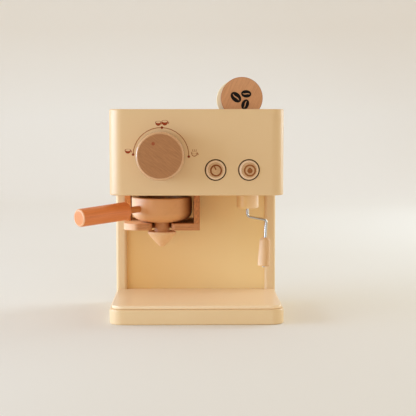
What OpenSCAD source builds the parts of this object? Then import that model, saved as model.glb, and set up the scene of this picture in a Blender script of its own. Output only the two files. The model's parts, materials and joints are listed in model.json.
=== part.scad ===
// Toy espresso machine in painted and natural wood, for pretend play.
// A closed cabinet stands on a plinth: a shallow column behind, a deep head above. The dial turns, two
// buttons spring, the filter holder slides and swings in a slotted hanger, the steam wand swivels,
// and two wooden coins lift out of a slot in the top.
// Frame: X to the right, Y to the back, Z up. Origin on the floor, under the middle of the cabinet.

/* [Cabinet] */
// Width of the head and of the column
cabinet_w = 180; // [176:1:190]
// Depth of the head, front to back
cabinet_d = 160; // [150:1:180]
// Height of the cabinet from the floor to the top of the head
cabinet_h = 223; // [220:0.5:235]
// Height of the head, underside to top
head_h = 88.7; // [86:0.1:96]
// Radius of the upright corners of the plinth and the head
corner_r = 14; // [10:0.5:14]
// Rounding of the long edges of the outer boards
edge_r = 1.6; // [0.8:0.1:2]
// Thickness of the front board of the head
front_t = 16; // [15:0.5:18]
// Thickness of the back board, which runs the full height
back_t = 14; // [14:0.5:16]
// Thickness of the side boards and of the column walls
side_t = 12; // [9:0.5:12]
// Thickness of the top board
top_t = 16; // [15:0.5:18]
// Thickness of the board under the head
under_t = 12; // [10:0.5:14]

/* [Plinth and column] */
// Thickness of the plinth
plinth_t = 16; // [14:0.5:20]
// How far the plinth stands out past the head at the front and the sides
plinth_lip = 1; // [0:0.2:2]
// Thickness of the tray plate on the plinth
tray_t = 3.8; // [3:0.1:5]
// Setback of the tray plate from the plinth's edge
tray_inset = 2.4; // [1.5:0.1:4]
// Distance from the front of the plinth to the column
column_setback = 118; // [105:1:120]
// Setback of the niche panel from the front edges of the column walls
niche_depth = 4; // [2:0.5:6]
// Thickness of the niche panel
niche_t = 6; // [4:0.5:8]
// Rounding of the front edges of the column walls
wall_edge_r = 3.4; // [1:0.1:4]

/* [Dial] */
// Sideways place of the dial, the hanger and the filter holder
brew_x = -37; // [-40:0.5:-34]
// Height of the dial's axis
dial_z = 175.8; // [174:0.2:180]
// Diameter of the dial knob
knob_dia = 49; // [40:0.5:52]
// Length of the dial knob
knob_len = 27; // [18:0.5:30]
// Diameter of the dial's shaft
shaft_dia = 10; // [8:0.5:12]

/* [Buttons] */
// Sideways places of the two buttons
button_x = [19.4, 53.6];
// Height of the buttons
button_z = 160.7; // [160:0.1:164]
// Diameter of a button
button_dia = 20; // [18:0.1:20.4]
// Gap around a button in its hole
button_gap = 0.85; // [0.4:0.05:1]
// How far a button stands proud
button_proud = 2.8; // [2.6:0.1:4]

/* [Hanger] */
// Width of the hanger board
hanger_w = 81.3; // [80:0.1:84]
// Thickness of the hanger board
hanger_t = 7.3; // [6:0.1:8]
// Height of the hanger board's top face
hanger_z = 102; // [100:0.5:104]
// Thickness of the cheeks that carry the hanger board
cheek_t = 6.4; // [5:0.1:7]
// Distance from the front of the head to the front of the hanger
hanger_setback = 36; // [30:1:40]
// Depth of the hanger, front to back
hanger_d = 74; // [70:1:76]
// Distance from the hanger's front edge to the left cheek, which leaves the handle room to swing
left_cheek_setback = 36; // [30:1:40]
// Radius of the hanger board's free front corner
hanger_corner_r = 15; // [8:0.5:16]
// Width of the slot for the neck of the filter holder
slot_w = 21; // [19:0.5:24]
// Radius of the funnel at the slot's mouth
mouth_r = 4.8; // [2:0.2:6]

/* [Filter holder] */
// Distance from the front of the head to the bowl's axis
brew_setback = 59; // [56:0.5:62]
// Outer diameter of the bowl
bowl_dia = 64.6; // [58:0.2:65]
// Height of the bowl
bowl_h = 26.7; // [22:0.1:27]
// Thickness of the bowl's wall
bowl_wall = 7.5; // [6:0.1:9]
// Thickness of the bowl's floor
bowl_floor = 8.7; // [7:0.1:10]
// Diameter of the neck
neck_dia = 16.4; // [14:0.1:18]
// Diameter of the spout
spout_dia = 30.4; // [26:0.2:34]
// Height of the spout
spout_h = 16.8; // [15:0.1:22]
// Diameter of the handle's dowel
rod_dia = 7; // [6:0.1:8]
// Length of the handle grip
grip_len = 63.4; // [50:0.1:75]
// Diameter of the grip at the bowl's end and at its far end
grip_dia = [19.2, 18.5];
// Exposed length of the dowel between the bowl and the grip
rod_shown = 16.5; // [15:0.1:24]
// Angle by which the handle droops
droop = 3.4; // [0:0.05:4]
// Direction of the handle at rest, from +X
handle_dir = 222.5; // [205:0.5:300]

/* [Steam wand] */
// Sideways place of the wand
wand_x = 55.3; // [52:0.1:60]
// Diameter of the wire
wire_dia = 3; // [2.5:0.1:4]
// Diameter of the collar
collar_dia = 23.6; // [16:0.1:24]
// Length of the collar under the head
collar_len = 17.6; // [10:0.1:18]
// Sideways reach of the wand's crank
crank_run = 20.3; // [15:0.1:22]
// Slope of the crank
crank_slope = 11; // [0:1:30]
// Height of the crank's upper corner
crank_z = 107.5; // [106:0.1:108]
// Lean of the lower leg
leg_lean = 3.2; // [0:0.1:5]
// Length of the wooden tip
tip_len = 31.2; // [25:0.1:36]
// Diameters of the tip, top and bottom
tip_dia = [11.6, 13.2];

/* [Coins] */
// Diameters of the front coin and the rear coin
coin_dia = [46, 42.5];
// Thickness of a coin
coin_t = 5; // [4:0.1:6]
// Depth of the slot that the coins stand in
coin_slot_depth = 11; // [9:0.1:12]
// Sideways places of the front coin and the rear coin
coin_x = [50.6, 44.1];
// Distance from the front of the head to the slot
coin_setback = 95; // [90:1:100]

/* [Hidden] */
$fn = 64;

// colours of paint, woods and metal
paint = [0.93, 0.80, 0.58];
tray_paint = [0.93, 0.73, 0.52];
beech = [0.80, 0.60, 0.40];
walnut = [0.62, 0.38, 0.22];
hanger_wood = [0.66, 0.40, 0.24];
bowl_wood = [0.78, 0.54, 0.34];
spout_wood = [0.90, 0.72, 0.54];
grip_wood = [0.80, 0.44, 0.27];
cream = [0.95, 0.88, 0.76];
steel = [0.72, 0.72, 0.74];

// clearances
eps = 0.1;
play = 0.4;         // free play behind a knob, a flange or a clip
running = 0.05;     // radial clearance of a turning or sliding fit
rest_gap = 0.3;     // air under a piece that rests on another by its weight

// levels and planes of the cabinet
front_y = -cabinet_d/2;
back_y = cabinet_d/2;
head_z = cabinet_h - head_h;
inner_front_y = front_y + front_t;
inner_back_y = back_y - back_t;
inner_x = cabinet_w/2 - side_t;
column_y = front_y + column_setback;
niche_y = column_y + niche_depth;
niche_groove = 4;

// joinery
dowel_r = 3;
dowel_len = 24;
head_dowel_z = [head_z + 20, cabinet_h - 20];
column_dowel_y = [column_y + 15, inner_back_y - 5];
column_screw_y = column_y + 19;
dowel_x = cabinet_w/2 - side_t/2;
screw_r = 2;
screw_len = 38;
screw_head_r = 4;
screw_recess = 0.5;
plinth_screw_places = [for (s = [-1, 1]) [s*dowel_x, column_screw_y],
                       for (x = [-60, 0, 60]) [x, back_y - back_t/2]];

// dial
shaft_r = shaft_dia/2;
knob_back_y = front_y - play;
knob_socket = 14;
knob_rim_r = 2.2;
retainer_r = 12;
retainer_t = 4;
retainer_y = inner_front_y + play;

// buttons
button_travel = 2.5;
cap_bevel = [2, 1.6];       // reach and depth of the soft bevel round a cap
flange_r = 13;
flange_t = 3;
flange_y = inner_front_y + play;
guide_r = 3;
carrier_t = 6;
carrier_y = flange_y + flange_t + 14.6;
carrier_top_z = button_z + 15;
carrier_x = [button_x[0] - 15, button_x[1] + 15];
carrier_seat = 3;
guide_end_y = carrier_y + carrier_t + 3;
spring_r = 5;
spring_wire_r = 0.45;
spring_turns = 5;
spring_steps = 15;  // rings in one turn
spring_sides = 6;

// hanger
hanger_y = front_y + hanger_setback;
hanger_x = [brew_x - hanger_w/2, brew_x + hanger_w/2];
brew_y = front_y + brew_setback;
neck_r = neck_dia/2;
slot_end_y = brew_y + neck_r + play;
left_cheek_y = hanger_y + left_cheek_setback;
hanger_dowel_r = 2;
hanger_dowel_len = 14;

// filter holder
bowl_r = bowl_dia/2;
bowl_z = hanger_z + rest_gap;
bowl_curve = [17, 11];      // reach and height of the elliptical turn under the wall
bowl_inner_r = bowl_r - bowl_wall;
bowl_inner_fillet = 6;
bowl_lip_r = 1.4;
rod_r = rod_dia/2;
rod_z = bowl_z + 17.2;
rod_bite = 6;               // depth of the dowel in the bowl's wall
rod_tenon = 22;             // depth of the dowel in the grip
grip_start = bowl_r + rod_shown;
grip_end_r = [3.4, 2.2];    // rounding of the grip, at the bowl's end and at its far end
spout_top_z = hanger_z - hanger_t - 2.7;
spout_rim = 2.6;
spout_tip_r = 2.4;
spout_socket = 8;
spout_bulge = 0.4;

// steam wand
wire_r = wire_dia/2;
bend_r = 3.2;
bend_slim = 0.04;   // a bend draws the wire thinner by this much
leg_lap = 0.25;
wand_top_z = head_z + under_t + 4;
spigot_r = 7;
collar_edge_r = 1.8;
upper_turn = 90 - crank_slope;
lower_turn = upper_turn + leg_lean;
upper_cut = bend_r*tan(upper_turn/2);
lower_cut = bend_r*tan(lower_turn/2);
crank_corner = [crank_run, crank_z - crank_run*tan(crank_slope)];
crank_len = crank_run/cos(crank_slope) - upper_cut - lower_cut;
tip_top = 18.7;             // from the crank's lower corner to the tip, along the leg
tip_edge_r = [3.2, 1.8];    // rounding of the tip, top and bottom
wire_end = 1.2;             // the wire shows this much under the tip
clip_r = 4.5;
clip_t = 1;

// coins
coin_foot_z = cabinet_h - coin_slot_depth + rest_gap;
coin_gap = 0.5;
coin_y = [front_y + coin_setback, front_y + coin_setback + coin_t + coin_gap];
coin_edge_r = 0.6;
coin_slot_x = [24, 73];

// ---- outlines and turned profiles ----

// points on an arc or an ellipse round c, from angle a0 to angle a1
function arc(c, rx, rz, a0, a1, n = 8) =
    [for (i = [0:n]) let (a = a0 + (a1 - a0)*i/n) [c[0] + rx*cos(a), c[1] + rz*sin(a)]];

// a rectangle on the origin with exact round corners
module round_rect(w, d, r) {
    square([w - 2*r, d], center = true);
    square([w, d - 2*r], center = true);
    for (x = [-1, 1], y = [-1, 1])
        translate([x*(w/2 - r), y*(d/2 - r)])
            circle(r);
}

// the form shared by the plinth, the tray plate and the head: round upright corners and eased edges.
// Two crossing slabs carry the flat faces, and a quarter-turned post closes each corner
module eased_block(w, d, h, r, edge) {
    translate([0, 0, h/2]) {
        rotate([90, 0, 90])
            linear_extrude(w - 2*r, center = true)
                round_rect(d, h, edge);
        rotate([90, 0, 0])
            linear_extrude(d - 2*r, center = true)
                round_rect(w, h, edge);
        for (x = [-1, 1], y = [-1, 1])
            translate([x*(w/2 - r), y*(d/2 - r), 0])
                rotate(x*y > 0 ? (x > 0 ? 0 : 180) : (x > 0 ? 270 : 90))
                    rotate_extrude(angle = 90)
                        intersection() {
                            round_rect(2*r, h, edge);
                            translate([0, -h/2])
                                square([r, h]);
                        }
    }
}

module head_form() {
    translate([0, 0, head_z])
        eased_block(cabinet_w, cabinet_d, head_h, corner_r, edge_r);
}

// a box between two corners
module span(low, high) {
    translate(low)
        cube(high - low);
}

// a cylinder that points to the back, from y on
module bar_y(x, y, z, r, len) {
    translate([x, y, z])
        rotate([-90, 0, 0])
            cylinder(r = r, h = len);
}

// a profile turned on an axis that points to the back, its height measured from y
module turned_y(x, y, z) {
    translate([x, y, z])
        rotate([-90, 0, 0])
            rotate_extrude()
                children();
}

// ---- plinth, tray and column ----

module countersunk_screw(len) {
    cylinder(r1 = screw_head_r, r2 = screw_r, h = screw_head_r - screw_r);
    cylinder(r = screw_r, h = len);
}

module plinth_screws() {
    color(steel)
        for (p = plinth_screw_places)
            translate([p[0], p[1], screw_recess])
                difference() {
                    countersunk_screw(screw_len);
                    // cross recess
                    for (a = [0, 90])
                        rotate(a)
                            translate([-2, -0.4, -eps])
                                cube([4, 0.8, 1.3]);
                }
}

module plinth() {
    color(paint)
        difference() {
            translate([0, -plinth_lip/2, 0])
                eased_block(cabinet_w + 2*plinth_lip, cabinet_d + plinth_lip, plinth_t, corner_r, edge_r);
            for (p = plinth_screw_places)
                translate([p[0], p[1], 0]) {
                    translate([0, 0, screw_recess])
                        countersunk_screw(screw_len);
                    translate([0, 0, -eps])
                        cylinder(r = screw_head_r, h = screw_recess + eps);
                }
        }
}

module tray_plate() {
    w = cabinet_w + 2*plinth_lip - 2*tray_inset;
    d = column_setback + plinth_lip - tray_inset - rest_gap;
    tongue_w = 2*inner_x - 2*rest_gap;
    color(tray_paint)
        translate([0, front_y - plinth_lip + tray_inset + d/2, plinth_t])
            union() {
                // the two back corners run square against the column
                intersection() {
                    translate([0, corner_r/2, 0])
                        eased_block(w, d + corner_r, tray_t, corner_r - tray_inset, 1);
                    translate([-w/2, -d/2, 0])
                        cube([w, d, tray_t]);
                }
                translate([-tongue_w/2, d/2 - 1, 0])
                    cube([tongue_w, niche_depth + 1, tray_t - 0.2]);
            }
}

module column_wall(side) {
    wall_d = inner_back_y - column_y;
    color(paint)
        difference() {
            translate([side*dowel_x, column_y + wall_d/2, plinth_t])
                linear_extrude(head_z - plinth_t)
                    union() {
                        round_rect(side_t, wall_d, wall_edge_r);
                        translate([-side_t/2, 0])
                            square([side_t, wall_d/2]);
                    }
            // groove for the niche panel
            span([side > 0 ? inner_x - eps : -inner_x - niche_groove, niche_y, plinth_t - eps],
                 [side > 0 ? inner_x + niche_groove : -inner_x + eps, niche_y + niche_t, head_z + eps]);
            column_dowel_set(side);
            translate([side*dowel_x, column_screw_y, screw_recess])
                cylinder(r = screw_r, h = screw_len);
        }
}

module column_left_wall() column_wall(-1);
module column_right_wall() column_wall(1);

module niche_panel() {
    color(paint)
        span([-inner_x - niche_groove, niche_y, plinth_t], [inner_x + niche_groove, niche_y + niche_t, head_z]);
}

module column_dowel_set(side) {
    for (y = column_dowel_y)
        translate([side*dowel_x, y, head_z - dowel_len/2])
            cylinder(r = dowel_r, h = dowel_len);
}

module column_dowels() {
    color(beech)
        for (side = [-1, 1])
            column_dowel_set(side);
}

module back_board() {
    color(paint)
        difference() {
            intersection() {
                translate([0, 0, plinth_t])
                    eased_block(cabinet_w, cabinet_d, cabinet_h - plinth_t, corner_r, edge_r);
                span([-cabinet_w, inner_back_y, 0], [cabinet_w, back_y + eps, cabinet_h + eps]);
            }
            head_dowel_set();
            for (p = plinth_screw_places)
                translate([p[0], p[1], screw_recess])
                    cylinder(r = screw_r, h = screw_len);
        }
}

// ---- head ----

// dowels from the side boards into the front board and the back board
module head_dowel_set() {
    for (side = [-1, 1], z = head_dowel_z, y = [inner_front_y - 8, inner_back_y - dowel_len + 8])
        bar_y(side*dowel_x, y, z, dowel_r, dowel_len);
}

module head_dowels() {
    color(beech)
        head_dowel_set();
}

module head_front_board() {
    color(paint)
        difference() {
            intersection() {
                head_form();
                span([-cabinet_w, front_y - eps, head_z - eps], [cabinet_w, inner_front_y, cabinet_h + eps]);
            }
            bar_y(brew_x, front_y - eps, dial_z, shaft_r + running, front_t + 2*eps);
            for (x = button_x)
                bar_y(x, front_y - eps, button_z, button_dia/2 + button_gap, front_t + 2*eps);
            head_dowel_set();
        }
}

module head_side(side) {
    color(paint)
        difference() {
            intersection() {
                head_form();
                span([side > 0 ? inner_x : -cabinet_w, inner_front_y, head_z - eps],
                     [side > 0 ? cabinet_w : -inner_x, inner_back_y, cabinet_h + eps]);
            }
            head_dowel_set();
            column_dowel_set(side);
        }
}

module head_left_side() head_side(-1);
module head_right_side() head_side(1);

module head_top_board() {
    color(paint)
        difference() {
            span([-inner_x, inner_front_y, cabinet_h - top_t], [inner_x, inner_back_y, cabinet_h]);
            span([coin_slot_x[0], coin_y[0] - coin_gap, cabinet_h - coin_slot_depth],
                 [coin_slot_x[1], coin_y[1] + coin_t + coin_gap, cabinet_h + eps]);
        }
}

module head_underside_board() {
    color(paint)
        difference() {
            span([-inner_x, inner_front_y, head_z], [inner_x, inner_back_y, head_z + under_t]);
            translate([wand_x, brew_y, head_z - eps])
                cylinder(r = spigot_r, h = under_t + 2*eps);
            span([carrier_x[0], carrier_y, head_z + under_t - carrier_seat],
                 [carrier_x[1], carrier_y + carrier_t, head_z + under_t + eps]);
            hanger_dowel_set();
        }
}

// ---- dial ----

module dial_knob() {
    r = knob_dia/2;
    color(walnut)
        difference() {
            turned_y(brew_x, knob_back_y - knob_len, dial_z)
                polygon(concat(
                    [[0, 0]],
                    arc([r - knob_rim_r, knob_rim_r], knob_rim_r, knob_rim_r, -90, 0),
                    arc([r - 1, knob_len - 1], 1, 1, 0, 90, 4),
                    [[0, knob_len]]));
            bar_y(brew_x, knob_back_y - knob_socket, dial_z, shaft_r, knob_socket + eps);
        }
}

module dial_shaft() {
    end_y = retainer_y + retainer_t;
    color(beech)
        difference() {
            bar_y(brew_x, knob_back_y - knob_socket, dial_z, shaft_r, end_y - knob_back_y + knob_socket);
            dial_screw_shank();
        }
}

module dial_retainer() {
    color(beech)
        difference() {
            bar_y(brew_x, retainer_y, dial_z, retainer_r, retainer_t);
            bar_y(brew_x, retainer_y - eps, dial_z, shaft_r, retainer_t + 2*eps);
        }
}

module dial_screw_shank() {
    bar_y(brew_x, retainer_y + retainer_t - 14, dial_z, 1.6, 14);
}

// pan head that bears on the shaft's end and on the retainer
module dial_screw() {
    head_y = retainer_y + retainer_t;
    color(steel)
        difference() {
            union() {
                dial_screw_shank();
                turned_y(brew_x, head_y, dial_z)
                    polygon(concat([[0, 0], [6.5, 0], [6.5, 0.8]], arc([4.6, 0.8], 1.9, 1.8, 0, 90), [[0, 2.6]]));
            }
            for (a = [0, 90])
                translate([brew_x, head_y + 1.4, dial_z])
                    rotate([0, a, 0])
                        translate([-2.4, 0, -0.4])
                            cube([4.8, 2, 0.8]);
        }
}

// ---- buttons ----

// cap, flange and guide rod turned in one piece
module button(x) {
    cap_y = front_y - button_proud;
    flange = flange_y - cap_y;
    r = button_dia/2;
    color(beech)
        turned_y(x, cap_y, button_z)
            polygon(concat(
                [[0, 0]],
                arc([r - cap_bevel[0], cap_bevel[1]], cap_bevel[0], cap_bevel[1], -90, 0, 6),
                [[r, flange], [flange_r, flange], [flange_r, flange + flange_t],
                 [guide_r, flange + flange_t], [guide_r, guide_end_y - cap_y - 0.8],
                 [guide_r - 0.8, guide_end_y - cap_y], [0, guide_end_y - cap_y]]));
}

module power_button() button(button_x[0]);
module drop_button() button(button_x[1]);

// coil spring swept along a helix, with flat ends where it bears on the flange and the carrier
module coil_spring(x) {
    y0 = flange_y + flange_t + spring_wire_r + eps;
    y1 = carrier_y - spring_wire_r - eps;
    rings = spring_turns*spring_steps;
    points = [for (i = [0:rings], k = [0:spring_sides - 1])
        let (t = i/rings,
             turn = 360*i/spring_steps,
             a = 360*k/spring_sides,
             rise = min(1, max(0, (t - 0.12)/0.76)),
             r = spring_r + spring_wire_r*cos(a))
        [x + r*cos(turn), y0 + (y1 - y0)*rise + spring_wire_r*sin(a), button_z + r*sin(turn)]];
    sides = [for (i = [0:rings - 1], k = [0:spring_sides - 1])
        let (n = (k + 1) % spring_sides, a = i*spring_sides)
        [a + k, a + n, a + spring_sides + n, a + spring_sides + k]];
    caps = [[for (k = [spring_sides - 1:-1:0]) k], [for (k = [0:spring_sides - 1]) rings*spring_sides + k]];
    color(steel)
        polyhedron(points, concat(sides, caps));
}

module power_spring() coil_spring(button_x[0]);
module drop_spring() coil_spring(button_x[1]);

// upright board behind the buttons: the springs bear on it and the guide rods run in it
module button_carrier() {
    color(beech)
        difference() {
            span([carrier_x[0], carrier_y, head_z + under_t - carrier_seat],
                 [carrier_x[1], carrier_y + carrier_t, carrier_top_z]);
            for (x = button_x)
                bar_y(x, carrier_y - eps, button_z, guide_r + running, carrier_t + 2*eps);
        }
}

// ---- hanger ----

// dowels that pin the cheeks to the board below and to the cabinet above
module hanger_dowel_set() {
    for (x = [hanger_x[0] + cheek_t/2, hanger_x[1] - cheek_t/2], y = [left_cheek_y + 8, hanger_y + hanger_d - 8])
        for (z = [hanger_z - hanger_t + 1.5, head_z - hanger_dowel_len/2])
            translate([x, y, z])
                cylinder(r = hanger_dowel_r, h = hanger_dowel_len);
}

module hanger_dowels() {
    color(beech)
        hanger_dowel_set();
}

// outline of the board from above: one free corner, and a slot with a funnel mouth
module hanger_outline() {
    s = slot_w/2;
    slot_c = slot_end_y - s;
    difference() {
        translate([hanger_x[0], hanger_y])
            difference() {
                square([hanger_w, hanger_d]);
                difference() {
                    translate([-eps, -eps])
                        square(hanger_corner_r + eps);
                    translate([hanger_corner_r, hanger_corner_r])
                        circle(hanger_corner_r);
                }
            }
        translate([brew_x, slot_c])
            circle(s);
        translate([brew_x - s, hanger_y - eps])
            square([slot_w, slot_c - hanger_y + eps]);
        // funnel: a wider mouth with round shoulders
        translate([brew_x, hanger_y])
            difference() {
                translate([-s - mouth_r, -eps])
                    square([slot_w + 2*mouth_r, mouth_r + eps]);
                for (side = [-1, 1])
                    translate([side*(s + mouth_r), mouth_r])
                        circle(mouth_r);
            }
    }
}

module hanger_board() {
    color(hanger_wood)
        difference() {
            translate([0, 0, hanger_z - hanger_t])
                linear_extrude(hanger_t)
                    hanger_outline();
            hanger_dowel_set();
        }
}

module cheek(x, y) {
    color(hanger_wood)
        difference() {
            span([x, y, hanger_z], [x + cheek_t, hanger_y + hanger_d, head_z]);
            hanger_dowel_set();
        }
}

module hanger_left_cheek() cheek(hanger_x[0], left_cheek_y);
module hanger_right_cheek() cheek(hanger_x[1] - cheek_t, hanger_y);

// ---- filter holder ----

module filter_bowl() {
    top = bowl_h;
    color(bowl_wood)
        difference() {
            translate([brew_x, brew_y, bowl_z])
                rotate_extrude()
                    polygon(concat(
                        [[neck_r + running, 0]],
                        arc([bowl_r - bowl_curve[0], bowl_curve[1]], bowl_curve[0], bowl_curve[1], -90, 0, 10),
                        arc([bowl_r - bowl_lip_r, top - bowl_lip_r], bowl_lip_r, bowl_lip_r, 0, 90, 4),
                        arc([bowl_inner_r + bowl_lip_r, top - bowl_lip_r], bowl_lip_r, bowl_lip_r, 90, 180, 4),
                        arc([bowl_inner_r - bowl_inner_fillet, bowl_floor + bowl_inner_fillet],
                            bowl_inner_fillet, bowl_inner_fillet, 0, -90, 6),
                        [[neck_r + running, bowl_floor]]));
            on_handle(bowl_r - rod_bite)
                cylinder(r = rod_r, h = rod_bite + 5);
        }
}

// puts children on the handle's axis, their +Z pointing away from the bowl, at a distance from its axis
module on_handle(distance) {
    translate([brew_x, brew_y, rod_z])
        rotate([0, 0, handle_dir])
            rotate([0, 90 + droop, 0])
                translate([0, 0, distance])
                    children();
}

module handle_dowel() {
    color(beech)
        on_handle(bowl_r - rod_bite)
            cylinder(r = rod_r, h = rod_bite + rod_shown + rod_tenon);
}

module handle_grip() {
    r0 = grip_dia[0]/2;
    r1 = grip_dia[1]/2;
    e0 = grip_end_r[0];
    e1 = grip_end_r[1];
    color(grip_wood)
        on_handle(grip_start)
            difference() {
                rotate_extrude()
                    polygon(concat(
                        [[0, 0]],
                        arc([r0 - e0, e0], e0, e0, -90, 0),
                        arc([r1 - e1, grip_len - e1], e1, e1, 0, 90),
                        [[0, grip_len]]));
                translate([0, 0, -eps])
                    cylinder(r = rod_r, h = rod_tenon + eps);
            }
}

module neck_dowel() {
    bottom = spout_top_z - spout_socket;
    color(bowl_wood)
        translate([brew_x, brew_y, bottom])
            cylinder(r = neck_r, h = bowl_z + bowl_floor - rest_gap - bottom);
}

// turned cone with a narrow upright rim and a slightly full taper
module spout() {
    r = spout_dia/2;
    taper_h = spout_h - spout_rim;
    steps = 10;
    taper = [for (i = [0:steps])
        let (t = i/steps)
        [spout_tip_r + (r - spout_tip_r)*t + 4*spout_bulge*t*(1 - t), taper_h*t]];
    color(spout_wood)
        translate([brew_x, brew_y, spout_top_z - spout_h])
            difference() {
                rotate_extrude()
                    polygon(concat(
                        [[0, 0]],
                        taper,
                        arc([r - 0.8, spout_h - 0.8], 0.8, 0.8, 0, 90, 4),
                        [[0, spout_h]]));
                translate([0, 0, spout_h - spout_socket])
                    cylinder(r = neck_r, h = spout_socket + eps);
            }
}

// ---- steam wand ----

module wand_collar() {
    r = collar_dia/2;
    e = collar_edge_r;
    color(cream)
        translate([wand_x, brew_y, head_z - collar_len])
            rotate_extrude()
                polygon(concat(
                    [[wire_r + running, 0]],
                    arc([r - e, e], e, e, -90, 0, 6),
                    [[r, collar_len], [spigot_r, collar_len], [spigot_r, collar_len + under_t],
                     [wire_r + running, collar_len + under_t]]));
}

// puts children in the wand's plane, local X to the right and local Y up
module in_wand_plane(p) {
    translate([wand_x, brew_y, 0])
        rotate([90, 0, 0])
            translate([p[0], p[1], 0])
                children();
}

// a straight stretch of wire that starts at p with a heading in degrees
module wire_leg(p, heading, len) {
    in_wand_plane(p)
        rotate([0, 0, heading])
            rotate([0, 90, 0])
                cylinder(r = wire_r, h = len);
}

// puts children on the wand's lower leg, their +Z pointing down it
module on_leg(distance) {
    in_wand_plane(crank_corner)
        rotate([0, 0, -90 - leg_lean])
            rotate([0, 90, 0])
                translate([0, 0, distance])
                    children();
}

// a bend of the wire, in the wand's plane, from a start angle round a centre
module wire_bend(centre, start, turn) {
    in_wand_plane(centre)
        rotate([0, 0, start])
            rotate_extrude(angle = turn)
                translate([bend_r, 0])
                    circle(wire_r - bend_slim);
}

// three straight legs joined by two bends, each leg running a little way into its bends
module wand_wire() {
    along = [cos(crank_slope), -sin(crank_slope)];
    upper_end = crank_z + upper_cut - leg_lap;
    crank_start = [0, crank_z] + (upper_cut - leg_lap)*along;
    upper_centre = [bend_r, crank_z + upper_cut];
    lower_centre = crank_corner - lower_cut*along - bend_r*[sin(crank_slope), cos(crank_slope)];
    color(steel)
        union() {
            wire_leg([0, wand_top_z], -90, wand_top_z - upper_end);
            wire_bend(upper_centre, 180, upper_turn);
            wire_leg(crank_start, -crank_slope, crank_len + 2*leg_lap);
            wire_bend(lower_centre, -leg_lean, lower_turn);
            on_leg(lower_cut - leg_lap)
                cylinder(r = wire_r, h = tip_top + tip_len + wire_end - lower_cut + leg_lap);
        }
}

module wand_tip() {
    r0 = tip_dia[0]/2;
    r1 = tip_dia[1]/2;
    e0 = tip_edge_r[0];
    e1 = tip_edge_r[1];
    color(beech)
        on_leg(tip_top)
            rotate_extrude()
                polygon(concat(
                    [[wire_r, 0]],
                    arc([r0 - e0, e0], e0, e0, -90, 0, 6),
                    arc([r1 - e1, tip_len - e1], e1, e1, 0, 90, 6),
                    [[wire_r, tip_len]]));
}

// push-on washer that keeps the wand in its collar
module wand_clip() {
    color(steel)
        translate([wand_x, brew_y, head_z + under_t + play])
            difference() {
                cylinder(r = clip_r, h = clip_t);
                translate([0, 0, -eps])
                    cylinder(r = wire_r, h = clip_t + 2*eps);
            }
}

// ---- coins ----

module coin(i) {
    r = coin_dia[i]/2;
    e = coin_edge_r;
    turned_y(coin_x[i], coin_y[i], coin_foot_z + r)
        polygon([[0, 0], [r - e, 0], [r, e], [r, coin_t - e], [r - e, coin_t], [0, coin_t]]);
}

module coin_front() color(beech) coin(0);
module coin_rear() color(cream) coin(1);

plinth();
tray_plate();
column_left_wall();
column_right_wall();
niche_panel();
back_board();
head_front_board();
head_left_side();
head_right_side();
head_top_board();
head_underside_board();
hanger_board();
hanger_left_cheek();
hanger_right_cheek();
hanger_dowels();
wand_collar();
button_carrier();
head_dowels();
column_dowels();
plinth_screws();
dial_knob();
dial_shaft();
dial_retainer();
dial_screw();
power_button();
power_spring();
drop_button();
drop_spring();
filter_bowl();
handle_dowel();
handle_grip();
neck_dowel();
spout();
wand_wire();
wand_tip();
wand_clip();
coin_front();
coin_rear();
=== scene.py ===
"""A wooden toy espresso machine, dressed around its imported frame.

The machine is built up as the maker would: plinth, tray, column, head, hanger, then the pieces that
move. Every length is in metres, and MM turns millimetres into them.
"""

import json
import math

import bmesh
import bpy
from mathutils import Matrix, Vector

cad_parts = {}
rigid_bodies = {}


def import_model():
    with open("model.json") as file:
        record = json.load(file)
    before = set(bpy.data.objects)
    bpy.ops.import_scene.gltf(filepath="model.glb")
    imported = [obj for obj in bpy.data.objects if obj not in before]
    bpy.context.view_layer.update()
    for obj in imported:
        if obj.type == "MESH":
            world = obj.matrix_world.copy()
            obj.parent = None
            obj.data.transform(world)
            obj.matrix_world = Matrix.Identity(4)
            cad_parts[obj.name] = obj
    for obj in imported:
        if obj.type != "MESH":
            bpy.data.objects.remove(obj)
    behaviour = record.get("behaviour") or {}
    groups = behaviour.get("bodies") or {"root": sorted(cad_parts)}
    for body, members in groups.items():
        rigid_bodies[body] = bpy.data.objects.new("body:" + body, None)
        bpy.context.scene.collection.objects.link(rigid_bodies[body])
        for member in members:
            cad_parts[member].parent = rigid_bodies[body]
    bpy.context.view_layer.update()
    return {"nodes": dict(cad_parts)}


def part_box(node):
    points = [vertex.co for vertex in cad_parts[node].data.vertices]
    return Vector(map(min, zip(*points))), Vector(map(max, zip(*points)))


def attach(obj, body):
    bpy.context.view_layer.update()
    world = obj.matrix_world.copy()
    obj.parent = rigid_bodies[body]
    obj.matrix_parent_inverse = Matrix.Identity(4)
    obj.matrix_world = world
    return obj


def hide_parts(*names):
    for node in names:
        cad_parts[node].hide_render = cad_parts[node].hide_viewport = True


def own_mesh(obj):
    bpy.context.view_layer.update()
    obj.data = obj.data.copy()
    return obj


MM = 0.001
scene = bpy.context.scene
for leftover in list(bpy.data.objects):
    bpy.data.objects.remove(leftover)

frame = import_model()
nodes = frame["nodes"]


# ---- camera ----
# It stands in front of the machine, level with its top and a little left of its middle, and looks
# slightly down. A long lens keeps the sides of the cabinet nearly parallel.

camera_place = Vector((-10.28, -1283.26, 221.33)) * MM
camera_pitch = math.radians(-4.736)
camera_yaw = math.radians(-1.042)

camera_data = bpy.data.cameras.new("camera")
camera_data.lens = 101.67
camera_data.sensor_width = 36
camera = bpy.data.objects.new("camera", camera_data)
camera.location = camera_place
camera.rotation_euler = (math.pi / 2 + camera_pitch, 0, camera_yaw)
scene.collection.objects.link(camera)
scene.camera = camera
scene.view_settings.view_transform = "Standard"


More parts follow.
